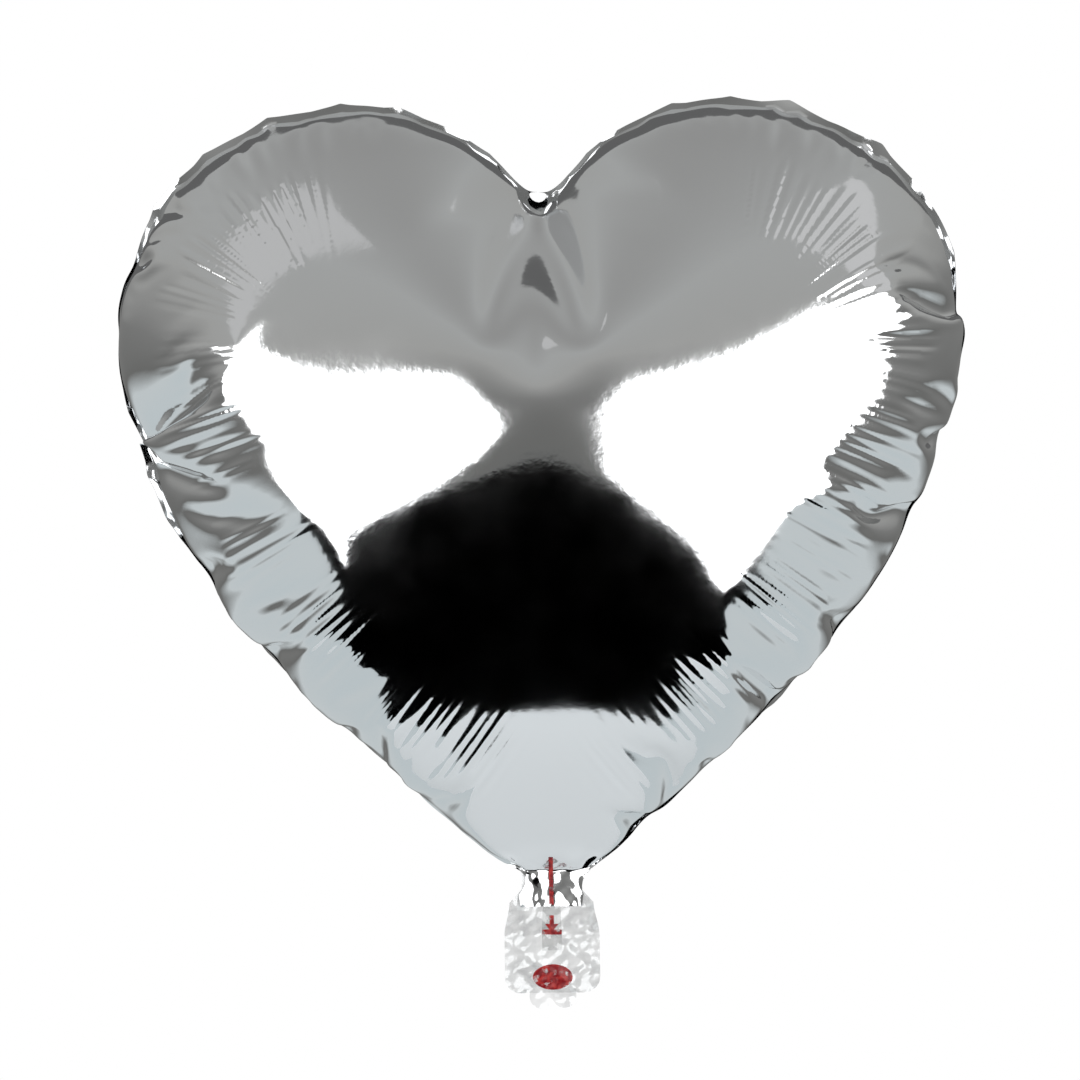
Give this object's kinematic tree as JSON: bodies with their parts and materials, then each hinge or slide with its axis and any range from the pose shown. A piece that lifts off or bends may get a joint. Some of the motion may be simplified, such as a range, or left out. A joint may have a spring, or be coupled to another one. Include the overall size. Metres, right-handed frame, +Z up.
{
  "type": "heart-shaped foil balloon",
  "caption": "Inflated mirror-silver heart balloon with a flat sealed rim, crimped foil neck and a clear film filling tail.",
  "frame": {"origin": "middle of the neck line, where the heart meets its neck and a ribbon is tied", "axes": "+Z up through the cleft between the lobes, -Y towards the front with the printed marks, +X to the right seen from the front"},
  "size_m": [0.3818, 0.1802, 0.4108],
  "materials": {
    "silver_foil": "mirror-bright metallised film",
    "clear_film": "clear crinkled film",
    "release_ink": "thin milky print",
    "red_ink": "printed red ink on film"
  },
  "bodies": {
    "heart": {"front_foil_panel": "silver_foil", "back_foil_panel": "silver_foil", "valve_front_film": "clear_film", "valve_back_film": "clear_film", "valve_release_strip": "release_ink", "neck_guide_line": "red_ink"},
    "tail": {"tail_front_film": "clear_film", "tail_back_film": "clear_film", "tail_release_strip": "release_ink", "tail_guide_arrow": "red_ink"},
    "inlet_lip": {"inlet_lip_film": "clear_film", "inlet_mark": "red_ink"}
  },
  "joints": [
    {"name": "tail_fold", "type": "hinge", "parent": "heart", "child": "tail", "pos_m": [0, 0, -0.0192], "axis": [1, 0, 0], "range_deg": [-120, 120]},
    {"name": "lip_open", "type": "hinge", "parent": "tail", "child": "inlet_lip", "pos_m": [0, -0.00055, -0.0395], "axis": [-1, 0, 0], "range_deg": [0, 30]}
  ]
}
